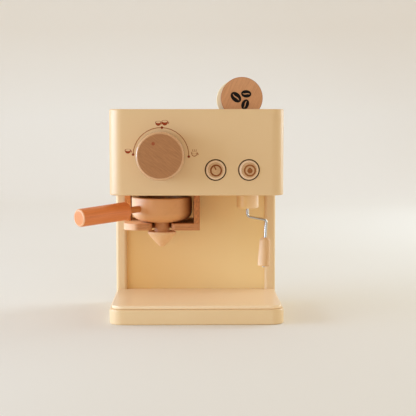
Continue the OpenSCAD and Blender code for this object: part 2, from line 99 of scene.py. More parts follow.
# ---- studio ----
# A pale paper sweep: a floor that curves up into a wall well behind the machine. A broad, low window
# of light stands at the left, a weaker one at the right gives the far edges back, and the room,
# brighter near its horizon, fills the rest. Behind the camera the room is dark, which gloss shows.

sweep_wide = 9.0
sweep_front = -4.0
sweep_back = 3.2
sweep_high = 4.5
sweep_curve = 1.6
floor_colour = "#F0EDE4"
wall_colour = "#F9F5EF"
painted_light_from, painted_light_full = 0.0, 1.8
glow_colour, glow_strength = "#BCE3FF", 0.12
glow_from, glow_full = 0.5, 1.7
glow_high, glow_gone = 0.2, 0.5
horizon_colour, horizon_strength, horizon_up = "#F7FFFC", 0.89, 0.1
zenith_colour, zenith_strength, zenith_up = "#FFE7CB", 0.66, 0.7
dark_behind, dark_from, dark_full = 0.8, -0.35, -0.8
machine_middle = Vector((0, 0, 0.12))


def linear(colour):
    """The linear colour of an sRGB hex value."""
    parts = [int(colour[i:i + 2], 16) / 255 for i in (1, 3, 5)]
    return (*[c / 12.92 if c <= 0.04045 else ((c + 0.055) / 1.055) ** 2.4 for c in parts], 1)


def add(tree, kind, inputs=None, **settings):
    """Adds a node. An input is a value or another node's output socket."""
    made = tree.nodes.new("ShaderNode" + kind)
    for name, value in settings.items():
        setattr(made, name, value)
    for name, value in (inputs or {}).items():
        if isinstance(value, bpy.types.NodeSocket):
            tree.links.new(value, made.inputs[name])
        else:
            made.inputs[name].default_value = value
    return made


def new_material(name):
    """An empty node material, its node tree, and the Object coordinates that its patterns lie on."""
    material = bpy.data.materials.new(name)
    material.use_nodes = True
    tree = material.node_tree
    tree.nodes.clear()
    return material, tree, add(tree, "TexCoord").outputs["Object"]


def ease(bm, geom, radius, segments, affect="EDGES"):
    """Rounds edges, or the corners of a flat outline, to a radius."""
    return bmesh.ops.bevel(bm, geom=geom, offset=radius, offset_type="OFFSET", affect=affect,
                           segments=segments, profile=0.5, material=-1)


def face_out(bm):
    """Turns every face outward."""
    bmesh.ops.recalc_face_normals(bm, faces=bm.faces)


def grown(bm, ring):
    """Extrudes edges where they lie: the new corners, and the new edges between them."""
    made = bmesh.ops.extrude_edge_only(bm, edges=ring)["geom"]
    corners = [v for v in made if isinstance(v, bmesh.types.BMVert)]
    return corners, [e for e in made if isinstance(e, bmesh.types.BMEdge)
                     and e.verts[0] in corners and e.verts[1] in corners]


def drawn_on(bm, edges, shift):
    """Runs edges on in a straight line, and gives the new ones."""
    corners, ring = grown(bm, edges)
    bmesh.ops.translate(bm, vec=shift, verts=corners)
    return ring


# Matt paper with no gloss, painted a little paler where it climbs into the wall, which is painted light,
# and with a painted cool glow where it turns up: the paper gives out light in place of a backdrop lamp.
paper, tree, place = new_material("matt_paper")
reach = add(tree, "SeparateXYZ", {0: place})
climb = add(tree, "MapRange", {"Value": reach.outputs["Y"], "From Min": painted_light_from,
                               "From Max": painted_light_full})
tone = add(tree, "Mix", {0: climb.outputs["Result"], 6: linear(floor_colour),
                         7: linear(wall_colour)}, data_type="RGBA")
near = add(tree, "MapRange", {"Value": reach.outputs["Y"], "From Min": glow_from,
                              "From Max": glow_full})
high = add(tree, "MapRange", {"Value": reach.outputs["Z"], "From Min": glow_high,
                              "From Max": glow_gone, "To Min": glow_strength, "To Max": 0.0})
glow = add(tree, "Math", {0: near.outputs["Result"], 1: high.outputs["Result"]}, operation="MULTIPLY")
skin = add(tree, "BsdfPrincipled",
           {"Base Color": tone.outputs[2], "Roughness": 0.9, "Emission Color": linear(glow_colour),
            "Emission Strength": glow.outputs[0]})
add(tree, "OutputMaterial", {"Surface": skin.outputs[0]})

bm = bmesh.new()
sweep = [bm.verts.new((-sweep_wide / 2, y, z))
         for y, z in ((sweep_front, 0), (sweep_back, 0), (sweep_back, sweep_high))]
for first, second in zip(sweep, sweep[1:]):
    bm.edges.new((first, second))
ease(bm, [sweep[1]], sweep_curve, 24, affect="VERTICES")
drawn_on(bm, bm.edges[:], (sweep_wide, 0, 0))
face_out(bm)
floor_mesh = bpy.data.meshes.new("paper_sweep")
bm.to_mesh(floor_mesh)
bm.free()
floor_mesh.shade_smooth()
floor_mesh.materials.append(paper)
floor = bpy.data.objects.new("paper_sweep", floor_mesh)
scene.collection.objects.link(floor)


def soft_box(name, place, size, power, colour):
    """An area lamp, wide by high, turned to face the machine and left out of the camera's view."""
    data = bpy.data.lights.new(name, "AREA")
    data.shape = "RECTANGLE"
    data.size, data.size_y = size
    data.energy = power
    data.color = linear(colour)[:3]
    lamp = bpy.data.objects.new(name, data)
    lamp.location = place
    lamp.rotation_euler = (Vector(place) - machine_middle).to_track_quat("Z", "Y").to_euler()
    lamp.visible_camera = False
    scene.collection.objects.link(lamp)


soft_box("left_soft_box", (-1.5, -0.25, 0.35), size=(1.6, 0.68), power=27.0, colour="#BBD8FF")
soft_box("right_soft_box", (1.45, 0.75, 0.6), size=(1.0, 1.0), power=15.0, colour="#D4EDFF")

world = bpy.data.worlds.new("room")
world.use_nodes = True
tree = world.node_tree
room = tree.nodes["Background"]
sky = add(tree, "SeparateXYZ", {0: add(tree, "TexCoord").outputs["Generated"]})
lift = add(tree, "MapRange", {"Value": sky.outputs["Z"], "From Min": horizon_up, "From Max": zenith_up})
tint = add(tree, "Mix", {0: lift.outputs["Result"], 6: linear(horizon_colour),
                         7: linear(zenith_colour)}, data_type="RGBA")
level = add(tree, "MapRange", {"Value": lift.outputs["Result"], "To Min": horizon_strength,
                               "To Max": zenith_strength})
tree.links.new(tint.outputs[2], room.inputs["Color"])
behind = add(tree, "MapRange", {"Value": sky.outputs["Y"], "From Min": dark_from,
                                "From Max": dark_full, "To Min": 0.0, "To Max": dark_behind})
mirrored = add(tree, "Math", {0: behind.outputs["Result"],
                              1: add(tree, "LightPath").outputs["Is Glossy Ray"]},
               operation="MULTIPLY")
shown = add(tree, "Math", {0: 1.0, 1: mirrored.outputs[0]}, operation="SUBTRACT")
strength = add(tree, "Math", {0: level.outputs["Result"], 1: shown.outputs[0]}, operation="MULTIPLY")
tree.links.new(strength.outputs[0], room.inputs["Strength"])
scene.world = world


# ---- plinth ----
# A board of MDF with round corners, sprayed like the column walls with the cabinet's cream lacquer,
# which is painted paler on both as painted light. Five countersunk screws come up through it into the
# walls and the back board.

plinth_low, plinth_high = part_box("plinth")
corner_r = 14 * MM
edge_r = 1.6 * MM
screw_y = 57 * MM
back_screw_y = 73 * MM
screw_places = [(x * MM, y) for x, y in ((-84, screw_y), (84, screw_y), (-60, back_screw_y),
                                         (0, back_screw_y), (60, back_screw_y))]
well_r = 4.2 * MM
well_deep = 2.8 * MM
hair = 0.01 * MM
coat_patch = 70 * MM
peel_apart = 1.8 * MM
peel_high = 0.03 * MM
crease = math.radians(36)


def paint_light_across(tree, place, tone, share, colour, full, gone):
    """Paints light or shade across a tone: a share of another colour at one place in X, none at another.
    """
    across = add(tree, "SeparateXYZ", {0: place})
    belt = add(tree, "MapRange", {"Value": across.outputs["X"], "From Min": full, "From Max": gone,
                                  "To Min": share, "To Max": 0.0})
    return add(tree, "Mix", {0: belt.outputs["Result"], 6: tone.outputs[2], 7: linear(colour)},
               data_type="RGBA")


def lacquer(name, colour, deep, roughness=0.33, thin_ink_and_painted_light=None):
    """Sprayed satin lacquer: even colour, a faint orange peel, a sheen that varies a little.

    thin_ink_and_painted_light is a paler colour painted across the coat as painted light, and the places
    in X where it is full and gone.
    """
    material, tree, place = new_material(name)
    # the coat is a little deeper in broad patches
    cloud = add(tree, "TexNoise", {"Vector": place, "Scale": 1 / coat_patch, "Detail": 2.0})
    tone = add(tree, "Mix", {0: cloud.outputs["Fac"], 6: linear(colour), 7: linear(deep)},
               data_type="RGBA")
    if thin_ink_and_painted_light:
        tone = paint_light_across(tree, place, tone, 1.0, *thin_ink_and_painted_light)
    # orange peel, drawn a little coarser than sprayed lacquer has
    peel = add(tree, "TexNoise", {"Vector": place, "Scale": 1 / peel_apart, "Detail": 1.0})
    bump = add(tree, "Bump", {"Height": peel.outputs["Fac"], "Strength": 0.25, "Distance": peel_high})
    dull = add(tree, "MapRange", {"Value": cloud.outputs["Fac"], "To Min": roughness - 0.03,
                                  "To Max": roughness + 0.05})
    skin = add(tree, "BsdfPrincipled",
               {"Base Color": tone.outputs[2], "Roughness": dull.outputs["Result"], "IOR": 1.5,
                "Normal": bump.outputs["Normal"]})
    add(tree, "OutputMaterial", {"Surface": skin.outputs[0]})
    return material


def raised(bm, height):
    """Gives flat faces their thickness."""
    made = bmesh.ops.extrude_face_region(bm, geom=bm.faces[:])["geom"]
    bmesh.ops.translate(bm, vec=(0, 0, height),
                        verts=[v for v in made if isinstance(v, bmesh.types.BMVert)])
    face_out(bm)


def sawn(outline, low, high, edge):
    """A board sawn to an outline of (x, y, corner radius) and laid flat, with eased edges."""
    bm = bmesh.new()
    corners = [bm.verts.new((x, y, low)) for x, y, radius in outline]
    bm.faces.new(corners)
    for corner, (x, y, radius) in zip(corners, outline):
        if radius:
            ease(bm, [corner], radius, max(5, round(radius / MM)), affect="VERTICES")
    raised(bm, high - low)
    if edge:
        ease(bm, [e for e in bm.edges if abs(e.verts[0].co.z - e.verts[1].co.z) < hair], edge, 4)
    return bm


def box_outline(low, high, front_r=0, back_r=0):
    """The outline of a rectangular board, seen from above."""
    return [(low[0], low[1], front_r), (high[0], low[1], front_r),
            (high[0], high[1], back_r), (low[0], high[1], back_r)]


def drawn_in(bm, ring, centre, factors):
    """Copies a ring of edges inward about a centre, joined by a strip, and gives the new ring."""
    corners, edges = grown(bm, ring)
    bmesh.ops.scale(bm, vec=factors, space=Matrix.Translation(centre).inverted(), verts=corners)
    return edges


def flat_face(bm, axis, place):
    """The largest face that lies square to an axis, at a place along it."""
    return max((f for f in bm.faces if abs(f.normal[axis]) > 0.99
                and abs(f.calc_center_median()[axis] - place) < 2 * hair), key=lambda f: f.calc_area())


def pierce(bm, face, rings):
    """Opens a flat face along closed rings of edges that lie in it."""
    normal = face.normal.copy()
    rim = list(face.edges)
    bmesh.ops.delete(bm, geom=[face], context="FACES_ONLY")
    bmesh.ops.triangle_fill(bm, use_beauty=True, edges=rim + [e for ring in rings for e in ring],
                            normal=normal)


def ring_of(bm, matrix, radius, segments=64):
    """A closed ring of edges on a circle."""
    made = bmesh.ops.create_circle(bm, cap_ends=False, radius=radius, segments=segments, matrix=matrix)
    return list({e for v in made["verts"] for e in v.link_edges})


def finish(bm, name, material, stands_for=(), body="cabinet", slot="cabinet_paint"):
    """Makes the piece an object, shades it, and hangs it on its body in place of its CAD nodes.

    Most pieces are boards of the painted cabinet.
    """
    face_out(bm)
    if bm.calc_volume(signed=True) < 0:
        bmesh.ops.reverse_faces(bm, faces=bm.faces)
    mesh = bpy.data.meshes.new(name)
    bm.to_mesh(mesh)
    bm.free()
    mesh.shade_smooth()
    mesh.set_sharp_from_angle(angle=crease)
    mesh.materials.append(material)
    piece = bpy.data.objects.new(name, mesh)
    scene.collection.objects.link(piece)
    shading = piece.modifiers.new("even_shading", "WEIGHTED_NORMAL")
    shading.keep_sharp = True
    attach(piece, body)
    if stands_for:
        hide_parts(*stands_for)
    return piece


cream_lacquer = lacquer("cream_satin_lacquer", "#EBC795", "#E8C18D")
# the plinth and column walls get a paler copy of the cream lacquer: painted light on the lower boards
painted_lit_pale_lacquer = lacquer("pale_satin_lacquer", "#F3D3A2", "#F0CD9A")

bm = sawn(box_outline(plinth_low, plinth_high, corner_r, corner_r), plinth_low.z, plinth_high.z, edge_r)
wells = [ring_of(bm, Matrix.Translation((x, y, 0)), well_r, 32) for x, y in screw_places]
pierce(bm, flat_face(bm, 2, 0), wells)
for well in wells:
    bmesh.ops.contextual_create(bm, geom=drawn_on(bm, well, (0, 0, well_deep)))
finish(bm, "plinth_board", painted_lit_pale_lacquer, ["plinth"])


# ---- screws ----
# Steel wood screws, pressed and thread-rolled and then plated with zinc, which looks bluish white
# and slightly cloudy. The push-on clip inside has the same plating.

zinc_cloud = 1.2 * MM


def steel(name, colour, grain, detail, smooth, rough):
    """Bare or plated steel. Its shine varies between two roughnesses, in a grain sized in X, Y and Z."""
    material, tree, place = new_material(name)
    spots = add(tree, "Mapping", {"Vector": place, "Scale": [1 / size for size in grain]})
    cloud = add(tree, "TexNoise", {"Vector": spots.outputs[0], "Scale": 1.0, "Detail": detail})
    dull = add(tree, "MapRange", {"Value": cloud.outputs["Fac"], "To Min": smooth, "To Max": rough})
    skin = add(tree, "BsdfPrincipled",
               {"Base Color": linear(colour), "Metallic": 1.0, "Roughness": dull.outputs["Result"]})
    add(tree, "OutputMaterial", {"Surface": skin.outputs[0]})
    return material


zinc = steel("zinc_plated_steel", "#C4C6C8", [zinc_cloud] * 3, 3.0, smooth=0.28, rough=0.5)
for name in ("plinth_screws", "dial_screw", "wand_clip"):
    nodes[name].data.materials[0] = zinc


# ---- tray plate ----
# A slim plate that lies on the plinth and tucks in between the column walls. It has the same
# lacquer, a little glossier, painted paler than the cabinet as painted light on its upward face.

tray_low, tray_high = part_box("tray_plate")
wall_inner = 78 * MM
tray_corner_r = 11.6 * MM
tray_edge_r = 1.1 * MM
tongue_front = 37.7 * MM
tongue_gap = 0.3 * MM
tongue_half = wall_inner - tongue_gap

# paler than the cabinet's lacquer: painted light
painted_lit_tray_lacquer = lacquer("tray_gloss_lacquer", "#FFE5BC", "#FFDFB2", roughness=0.28)
bm = sawn([(tray_low.x, tray_low.y, tray_corner_r), (tray_high.x, tray_low.y, tray_corner_r),
           (tray_high.x, tongue_front, 0), (tongue_half, tongue_front, 0), (tongue_half, tray_high.y, 0),
           (-tongue_half, tray_high.y, 0), (-tongue_half, tongue_front, 0),
           (tray_low.x, tongue_front, 0)], tray_low.z, tray_high.z, tray_edge_r)
finish(bm, "tray_board", painted_lit_tray_lacquer, ["tray_plate"], slot="tray_paint")


# ---- column ----
# Two upright walls with rounded front edges, glued to the plinth and the head. A groove in each
# holds the niche panel, and the back board closes the cabinet from the plinth to the top.

niche_low, niche_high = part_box("niche_panel")
groove_deep = 4 * MM
wall_edge_r = 3.4 * MM
glue_line = 0.12 * MM

for side, node in ((-1, "column_left_wall"), (1, "column_right_wall")):
    low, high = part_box(node)
    outer = side * max(abs(low.x), abs(high.x))
    inner = side * min(abs(low.x), abs(high.x))
    grooved = inner + side * groove_deep
    bm = sawn([(outer, low.y, wall_edge_r), (inner, low.y, wall_edge_r), (inner, niche_low.y, 0),
               (grooved, niche_low.y, 0), (grooved, niche_high.y, 0), (inner, niche_high.y, 0),
               (inner, high.y, 0), (outer, high.y, 0)], low.z, high.z, 0)
    finish(bm, node + "_board", painted_lit_pale_lacquer, [node])

# the panel's deeper, more saturated coat is painted shade for its recess, and it is painted paler
# towards the right, where more light reaches it
painted_shade_niche_lacquer = lacquer("niche_satin_lacquer", "#F2C37A", "#EDBB70", thin_ink_and_painted_light=("#FFDE9E", 45 * MM, -75 * MM))
nodes["niche_panel"].data.materials[0] = painted_shade_niche_lacquer


def cut(bm, place, normal):
    """Saws off what lies beyond a plane, closes the cut and breaks its edges a hair."""
    sawing = bmesh.ops.bisect_plane(bm, geom=bm.verts[:] + bm.edges[:] + bm.faces[:], plane_co=place,
                                    plane_no=normal, clear_outer=True)
    rim = [e for e in sawing["geom_cut"] if isinstance(e, bmesh.types.BMEdge)]
    bmesh.ops.contextual_create(bm, geom=rim)
    face_out(bm)
    ease(bm, rim, glue_line, 1)


back_low, back_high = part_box("back_board")
block_low = Vector((back_low.x, -back_high.y, back_low.z))
bm = sawn(box_outline(block_low, back_high, corner_r, corner_r), back_low.z, back_high.z, edge_r)
cut(bm, (0, back_low.y, 0), (0, -1, 0))
finish(bm, "back_panel", cream_lacquer, ["back_board"])


# ---- head ----
# A box of thick boards with the plinth's round corners: front board, two sides, top and underside.
# It is glued and dowelled before it is sprayed, so its joints show as hair lines at most.

head_low, head_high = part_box("head_front_board")
head_back = Vector((head_high.x, -head_low.y, head_high.z))
button_hole_r = 10.85 * MM
shaft_hole_r = 5.05 * MM
hole_edge_r = 0.5 * MM
clump_wide = 0.6 * MM
fuzz_high = 0.1 * MM


def head_block():
    """The whole outer form of the head, before it is cut into boards."""
    return sawn(box_outline(head_low, head_back, corner_r, corner_r), head_low.z, head_high.z, edge_r)


def middle_of(node):
    """The middle of a CAD node's box."""
    low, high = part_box(node)
    return (low + high) / 2


def front_of(node):
    """The middle of the front of a CAD node's box."""
    middle = middle_of(node)
    return Vector((middle.x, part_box(node)[0].y, middle.z))


front_y = head_low.y
front_back_y = head_high.y
dial_axis = middle_of("dial_knob")
power_axis = middle_of("power_button")
drop_axis = middle_of("drop_button")

# the front board, bored for the dial's shaft and the buttons
bm = head_block()
cut(bm, (0, front_back_y, 0), (0, 1, 0))
facing = Matrix.Rotation(math.pi / 2, 4, "X")
bores = [(dial_axis, shaft_hole_r), (power_axis, button_hole_r), (drop_axis, button_hole_r)]
mouths = []
for y in (front_y, front_back_y):
    # the rings lie two roundings outside the bores, which leaves room to ease their edges
    mouths.append([ring_of(bm, Matrix.Translation((axis.x, y, axis.z)) @ facing,
                           radius + 2 * hole_edge_r) for axis, radius in bores])
    pierce(bm, flat_face(bm, 1, y), mouths[-1])
for (axis, radius), *pair in zip(bores, *mouths):
    shrink = radius / (radius + 2 * hole_edge_r)
    lips = [drawn_in(bm, ring, (axis.x, 0, axis.z), (shrink, 1, shrink)) for ring in pair]
    bmesh.ops.bridge_loops(bm, edges=lips[0] + lips[1])
    face_out(bm)
    ease(bm, lips[0], hole_edge_r, 3)
front_panel = finish(bm, "head_front_panel", cream_lacquer, ["head_front_board"])


def refinish(piece, material, where):
    """Gives another finish to the faces of a piece whose middles pass a test."""
    piece.data.materials.append(material)
    for face in piece.data.polygons:
        if where(face.center):
            face.material_index = len(piece.data.materials) - 1


# the holes were bored after spraying, so their walls show the brown MDF, painted near black as painted
# shade deep in the narrow gaps
mdf_with_painted_shade, tree, place = new_material("bored_mdf")
# pressed fibres in clumps
clump = add(tree, "TexNoise", {"Vector": place, "Scale": 1 / clump_wide, "Detail": 3.0})
tone = add(tree, "Mix", {0: clump.outputs["Fac"], 6: linear("#2A1210"), 7: linear("#3E2018")},
           data_type="RGBA")
fuzz = add(tree, "Bump", {"Height": clump.outputs["Fac"], "Strength": 0.5, "Distance": fuzz_high})
skin = add(tree, "BsdfPrincipled",
           {"Base Color": tone.outputs[2], "Roughness": 0.9, "Specular IOR Level": 0.15,
            "Normal": fuzz.outputs["Normal"]})
add(tree, "OutputMaterial", {"Surface": skin.outputs[0]})
refinish(front_panel, mdf_with_painted_shade,
         lambda c: any((c - axis).xz.length < radius + 0.6 * hole_edge_r for axis, radius in bores))

# the two sides
for side, node in ((-1, "head_left_side"), (1, "head_right_side")):
    low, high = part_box(node)
    bm = head_block()
    cut(bm, (side * wall_inner, 0, 0), (-side, 0, 0))
    cut(bm, (0, low.y, 0), (0, -1, 0))
    cut(bm, (0, high.y, 0), (0, 1, 0))
    finish(bm, node + "_board", cream_lacquer, [node])

# the top board, with the slot that the coins stand in
slot_size = Vector((49, 11.5, 0)) * MM
slot_middle = Vector((48.5, 20.25, 0)) * MM
slot_deep = 11 * MM
slot_edge_r = 0.8 * MM

low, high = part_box("head_top_board")
bm = sawn(box_outline(low, high), low.z, high.z, 0)
slot_middle.z = high.z
# this ring, too, lies two roundings outside its hole
mouth_size = slot_size + Vector((4, 4, 0)) * slot_edge_r
slot_corners = [bm.verts.new(slot_middle + Vector((x * mouth_size.x, y * mouth_size.y, 0)) / 2)
                for x, y in ((-1, -1), (1, -1), (1, 1), (-1, 1))]
slot_ring = [bm.edges.new((slot_corners[i - 1], slot_corners[i])) for i in range(4)]
pierce(bm, flat_face(bm, 2, high.z), [slot_ring])
shrink = (slot_size.x / mouth_size.x, slot_size.y / mouth_size.y, 1)
mouth = drawn_in(bm, slot_ring, slot_middle, shrink)
bmesh.ops.contextual_create(bm, geom=drawn_on(bm, mouth, (0, 0, -slot_deep)))
face_out(bm)
ease(bm, mouth, slot_edge_r, 4)
finish(bm, "head_top_panel", cream_lacquer, ["head_top_board"])

nodes["head_underside_board"].data.materials[0] = cream_lacquer


# ---- beech parts inside ----
# Dowels, the carrier board behind the buttons, the dial's shaft and its retaining disc: plain
# steamed beech, turned or sawn and left unfinished.

ring_apart = 1.6 * MM
fibre_long, fibre_wide = 30 * MM, 0.9 * MM
fleck_long, fleck_wide = 3.5 * MM, 0.5 * MM
tool_mark_apart = 0.9 * MM
grain_high = 0.05 * MM
painted_light_share = 0.85


def wood(name, pale, deep, along, ring_side, pith=60, fleck=0.3, rings=0.22, roughness=0.55, lathe=None,
         painted_light_belts=(), wax=0.0):
    """Solid timber: growth rings round a pith, long fibres, and the short dark flecks of beech.

    along is the direction of the grain, ring_side points from the piece to the pith, and pith is
    their distance in millimetres. lathe is the axis of a turned piece, which keeps fine tool marks.
    painted_light_belts are painted light and shade laid across it: each a colour, and the places in X
    where it is full and gone. wax is how thick the rubbed wax on it is.
    """
    material, tree, place = new_material(name)
    grain = Vector(along).normalized()
    inward = Vector(ring_side)
    inward = (inward - inward.dot(grain) * grain).normalized()
    turn = Matrix((grain, inward.cross(grain), inward)).to_euler()
    # log coordinates: X along the grain, and the pith on the X axis
    log = add(tree, "Mapping", {"Vector": place, "Rotation": turn, "Location": (0, 0, -pith * MM)})
    # growth rings, which waver along the log
    ring = add(tree, "TexWave", {"Vector": log.outputs[0], "Scale": math.pi / (10 * ring_apart),
                                 "Distortion": 5.0, "Detail": 3.0, "Detail Scale": 0.12,
                                 "Detail Roughness": 0.6},
               wave_type="RINGS", rings_direction="X", wave_profile="SIN")
    # fibres, drawn a little coarser than beech has
    fine = add(tree, "Mapping", {"Vector": log.outputs[0],
                                 "Scale": (1 / fibre_long, 1 / fibre_wide, 1 / fibre_wide)})
    fibre = add(tree, "TexNoise", {"Vector": fine.outputs[0], "Scale": 1.0, "Detail": 3.0,
                                   "Roughness": 0.6})
    # flecks, where the rays of the wood end
    short = add(tree, "Mapping", {"Vector": log.outputs[0],
                                  "Scale": (1 / fleck_long, 1 / fleck_wide, 1 / fleck_wide)})
    ray = add(tree, "TexNoise", {"Vector": short.outputs[0], "Scale": 1.0, "Detail": 1.0})
    speck = add(tree, "MapRange", {"Value": ray.outputs["Fac"], "From Min": 0.6, "From Max": 0.72,
                                   "To Min": 0.0, "To Max": fleck})
    depth = add(tree, "Math", {0: ring.outputs["Fac"], 1: rings}, operation="MULTIPLY")
    streak = add(tree, "MapRange", {"Value": fibre.outputs["Fac"], "From Min": 0.3, "From Max": 0.7,
                                    "To Min": 0.0, "To Max": 0.6})
    shade = add(tree, "Math", {0: depth.outputs[0], 1: streak.outputs[0]}, operation="ADD")
    total = add(tree, "Math", {0: shade.outputs[0], 1: speck.outputs[0]}, operation="ADD",
                use_clamp=True)
    tone = add(tree, "Mix", {0: total.outputs[0], 6: linear(pale), 7: linear(deep)}, data_type="RGBA")
    for belt in painted_light_belts:
        tone = paint_light_across(tree, place, tone, painted_light_share, *belt)
    height = fibre.outputs["Fac"]
    if lathe:
        # the turning tool's marks follow each other along the lathe's axis
        spin = Vector((1, 0, 0)).rotation_difference(Vector(lathe)).inverted().to_euler()
        bed = add(tree, "Mapping", {"Vector": place, "Rotation": spin})
        marks = add(tree, "TexWave",
                    {"Vector": bed.outputs[0], "Scale": math.pi / (10 * tool_mark_apart),
                     "Distortion": 0.6, "Detail": 1.0, "Detail Scale": 0.2},
                    wave_type="BANDS", bands_direction="X")
        blend = add(tree, "Math", {0: marks.outputs["Fac"], 1: height}, operation="ADD")
        height = blend.outputs[0]
    bump = add(tree, "Bump", {"Height": height, "Strength": 0.3, "Distance": grain_high})
    dull = add(tree, "MapRange", {"Value": fibre.outputs["Fac"], "To Min": roughness - 0.06,
                                  "To Max": roughness + 0.08})
    skin = add(tree, "BsdfPrincipled",
               {"Base Color": tone.outputs[2], "Roughness": dull.outputs["Result"], "IOR": 1.48,
                "Normal": bump.outputs["Normal"], "Coat Weight": wax, "Coat Roughness": 0.15})
    add(tree, "OutputMaterial", {"Surface": skin.outputs[0]})
    return material


plain_beech = wood("steamed_beech", "#E3B98C", "#B98350", along=(0, 1, 0), ring_side=(1, 0, 1))
for name in ("head_dowels", "column_dowels", "button_carrier", "dial_shaft", "dial_retainer",
             "hanger_dowels"):
    nodes[name].data.materials[0] = plain_beech


# ---- hanger ----
# A slotted board of red beech hung from the head on two cheeks. The filter holder's neck slides
# into the slot, whose mouth is rounded into a funnel; the board's free corner is rounded as well.

board_low, board_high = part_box("hanger_board")
free_corner_r = 15 * MM
slot_half = 10.5 * MM
slot_end_y = -12.4 * MM
mouth_r = 4.8 * MM
hanger_edge_r = 0.8 * MM
cheek_edge_r = 0.6 * MM
brew_axis = middle_of("filter_bowl")

board_log = dict(along=(1, 0, 0), ring_side=(0, 0.3, 1), pith=45, fleck=0.45)
cheek_log = dict(along=(0, 0.25, 1), ring_side=(1, 0.4, 0), pith=30, fleck=0.6)
# the board is painted paler at its free corner: a painted highlight where the rounded corner catches the
# left light
hanger_wood = wood("red_beech_board", "#DC965A", "#A45D2C", **board_log,
                   painted_light_belts=[("#FFCFA0", board_low.x + 11.5 * MM, board_low.x + 16 * MM)])
painted_lit_top_wood = wood("painted_lit_red_beech_top", "#DC965A", "#A45D2C", **board_log,
                   painted_light_belts=[("#FFD29C", board_low.x + 22 * MM, board_low.x + 40 * MM)])
# the left cheek's copy of the wood is painted paler than the right cheek's: painted light from the left
painted_lit_cheek_wood = wood("painted_lit_red_beech_cheek", "#F4A254", "#B8672D", **cheek_log)
right_cheek_wood = wood("red_beech_cheek", "#D98A47", "#975024", **cheek_log)

slot_left, slot_right = brew_axis.x - slot_half, brew_axis.x + slot_half
bm = sawn([(board_low.x, board_low.y, free_corner_r), (slot_left, board_low.y, mouth_r),
           (slot_left, slot_end_y, slot_half - 0.1 * MM), (slot_right, slot_end_y, slot_half - 0.1 * MM),
           (slot_right, board_low.y, mouth_r), (board_high.x, board_low.y, cheek_edge_r),
           (board_high.x, board_high.y, 0), (board_low.x, board_high.y, 0)],
          board_low.z, board_high.z, hanger_edge_r)
slotted_board = finish(bm, "hanger_slotted_board", hanger_wood, ["hanger_board"], slot="hanger_wood")
# the top face has its own copy of the wood, painted paler further along from the free end: painted light
# on a face that the grip and the bowl shade
refinish(slotted_board, painted_lit_top_wood, lambda c: c.z > board_high.z - hair)

for node, cheek_wood in (("hanger_left_cheek", painted_lit_cheek_wood),
                         ("hanger_right_cheek", right_cheek_wood)):
    low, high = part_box(node)
    bm = sawn(box_outline(low, high, cheek_edge_r, cheek_edge_r), low.z, high.z, 0)
    finish(bm, node + "_block", cheek_wood, [node], slot="hanger_wood")


# ---- wand collar ----
# A turned wooden boss, lacquered like the cabinet, with its spigot glued up into the head. It is
# bored through for the steam wand's wire.

collar_low, collar_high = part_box("wand_collar")
collar_r = (collar_high.x - collar_low.x) / 2
collar_axis = middle_of("wand_collar")
collar_edge_r = 1.8 * MM
wire_r = 1.5 * MM


def turned(profile, place, steps=96):
    """A form turned on Z, then put in its place. The profile's points are (radius, height, rounding)."""
    bm = bmesh.new()
    points = [bm.verts.new((radius, 0, height)) for radius, height, rounding in profile]
    for first, second in zip(points, points[1:]):
        bm.edges.new((first, second))
    for point, (radius, height, rounding) in zip(points, profile):
        if rounding:
            ease(bm, [point], rounding, 6, affect="VERTICES")
    bmesh.ops.spin(bm, geom=bm.verts[:] + bm.edges[:], cent=(0, 0, 0), axis=(0, 0, 1), angle=2 * math.pi,
                   steps=steps, use_merge=True)
    bmesh.ops.remove_doubles(bm, verts=bm.verts, dist=0.1 * hair)
    face_out(bm)
    bm.transform(place)
    return bm


# the collar's lacquer is painted paler on its right side: a painted highlight where the right lamp
# catches it
collar_lacquer = lacquer("collar_satin_lacquer", "#F7CE8C", "#F2C785",
                         thin_ink_and_painted_light=("#FBD5A6", collar_axis.x + 6 * MM, collar_axis.x - 3 * MM))
spigot_r = 7 * MM
bore_r = wire_r + 0.05 * MM
head_under_z = head_low.z
bm = turned([(bore_r, collar_low.z, 0), (collar_r, collar_low.z, collar_edge_r),
             (collar_r, head_under_z, 0), (spigot_r, head_under_z, 0), (spigot_r, collar_high.z, 0),
             (bore_r, collar_high.z, 0), (bore_r, collar_low.z, 0)],
            Matrix.Translation((collar_axis.x, collar_axis.y, 0)))
finish(bm, "wand_collar_boss", collar_lacquer, ["wand_collar"], slot="collar_paint")


# ---- dial ----
# A thick disc of beech turned on its shaft. Its rim is rounded, its face is waxed, and a dot of
# red paint marks where it points.

knob_low, knob_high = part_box("dial_knob")
knob_face = front_of("dial_knob")
knob_r = (knob_high.x - knob_low.x) / 2
knob_long = knob_high.y - knob_low.y
knob_rim_r = 2.2 * MM
knob_back_r = 1 * MM
shaft_r = 5 * MM
socket_deep = 14 * MM
dot_r = 1.75 * MM
dot_out = 14.3 * MM
dot_angle = math.radians(118)
ink_thick = 0.05 * MM
ink_spot = 0.8 * MM

knob_log = dict(along=(0.82, 0.1, -0.57), ring_side=(0.5, 0.6, 0.7), pith=42, rings=0.1)
knob_wood = wood("waxed_beech_knob", "#BA7E4B", "#9C6539", **knob_log, fleck=0.25, roughness=0.5)
painted_lit_rim_wood = wood("polished_painted_lit_beech_rim", "#DBA878", "#C99562", **knob_log, fleck=0.2, roughness=0.24,
                     wax=1.0)
to_back = Matrix.Rotation(-math.pi / 2, 4, "X")
bm = turned([(0, 0, 0), (knob_r, 0, knob_rim_r), (knob_r, knob_long, knob_back_r),
             (shaft_r, knob_long, 0), (shaft_r, knob_long - socket_deep, 0),
             (0, knob_long - socket_deep, 0)],
            Matrix.Translation(knob_face) @ to_back, 128)
knob = finish(bm, "dial_knob_disc", knob_wood, ["dial_knob"], "dial", "knob_wood")
